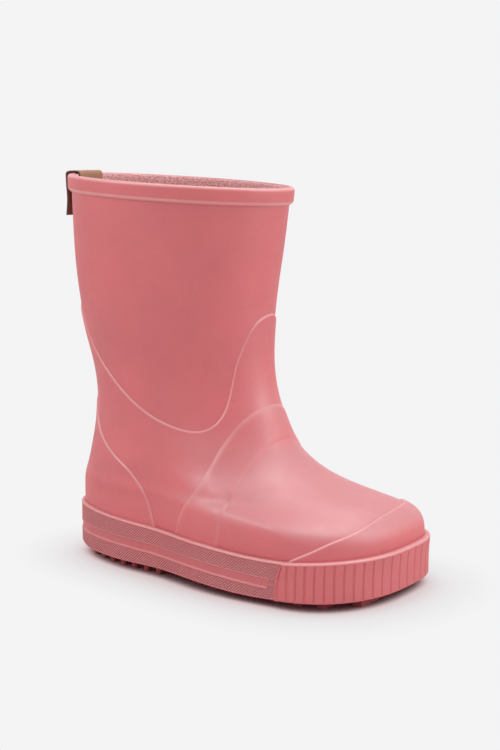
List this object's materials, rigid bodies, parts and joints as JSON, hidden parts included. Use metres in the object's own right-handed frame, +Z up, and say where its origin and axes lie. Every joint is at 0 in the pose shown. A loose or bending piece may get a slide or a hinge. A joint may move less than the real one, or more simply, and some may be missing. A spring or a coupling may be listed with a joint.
{
  "type": "child's rubber rain boot",
  "caption": "Mid-height child's rubber rain boot with textile lining, banded opening, leather pull tab, raised foot panels and a knurled sole wall with a ribbed toe bumper.",
  "frame": {"origin": "on the ground under the middle of the sole's length, on the bottom of the middle tread lug", "axes": "+X towards the toe, +Y towards the inner ankle, +Z up the leg"},
  "size_m": [0.1965, 0.0992, 0.2036],
  "materials": {
    "upper_rubber": "satin matte pink",
    "sole_rubber": "satin matte pink, moulded texture",
    "filler_rubber": "rough dark crumb rubber",
    "knit_lining": "heathered knit",
    "knit_cover": "heathered knit",
    "board": "pressed fibre board",
    "foam": "open-cell foam",
    "leather": "smooth brown leather",
    "thread": "twisted sewing thread"
  },
  "bodies": {
    "boot": {"outsole": "sole_rubber", "foxing_strip": "sole_rubber", "toe_bumper": "sole_rubber", "heel_filler": "filler_rubber", "forefoot_filler": "filler_rubber", "inner_boot": "upper_rubber", "foot_overlay": "upper_rubber", "heel_counter": "upper_rubber", "instep_band": "upper_rubber", "toe_cap": "upper_rubber", "top_band": "upper_rubber", "foot_lining": "knit_lining", "leg_lining": "knit_lining", "insole_board": "board", "pull_tab_anchor": "leather", "pull_tab_stitches": "thread"},
    "pull_tab": {"pull_tab_tail": "leather"},
    "footbed": {"footbed_foam": "foam", "footbed_cover": "knit_cover"}
  },
  "joints": [
    {"name": "pull_tab_flip", "type": "hinge", "parent": "boot", "child": "pull_tab", "pos_m": [-0.0969, -0.00749, 0.20236], "axis": [-0.184, 0.9829, 0], "range_deg": [0, 135]},
    {"name": "footbed_lift", "type": "hinge", "parent": "boot", "child": "footbed", "pos_m": [0.0875, 0, 0.0204], "axis": [0, 1, 0], "range_deg": [0, 10]}
  ]
}
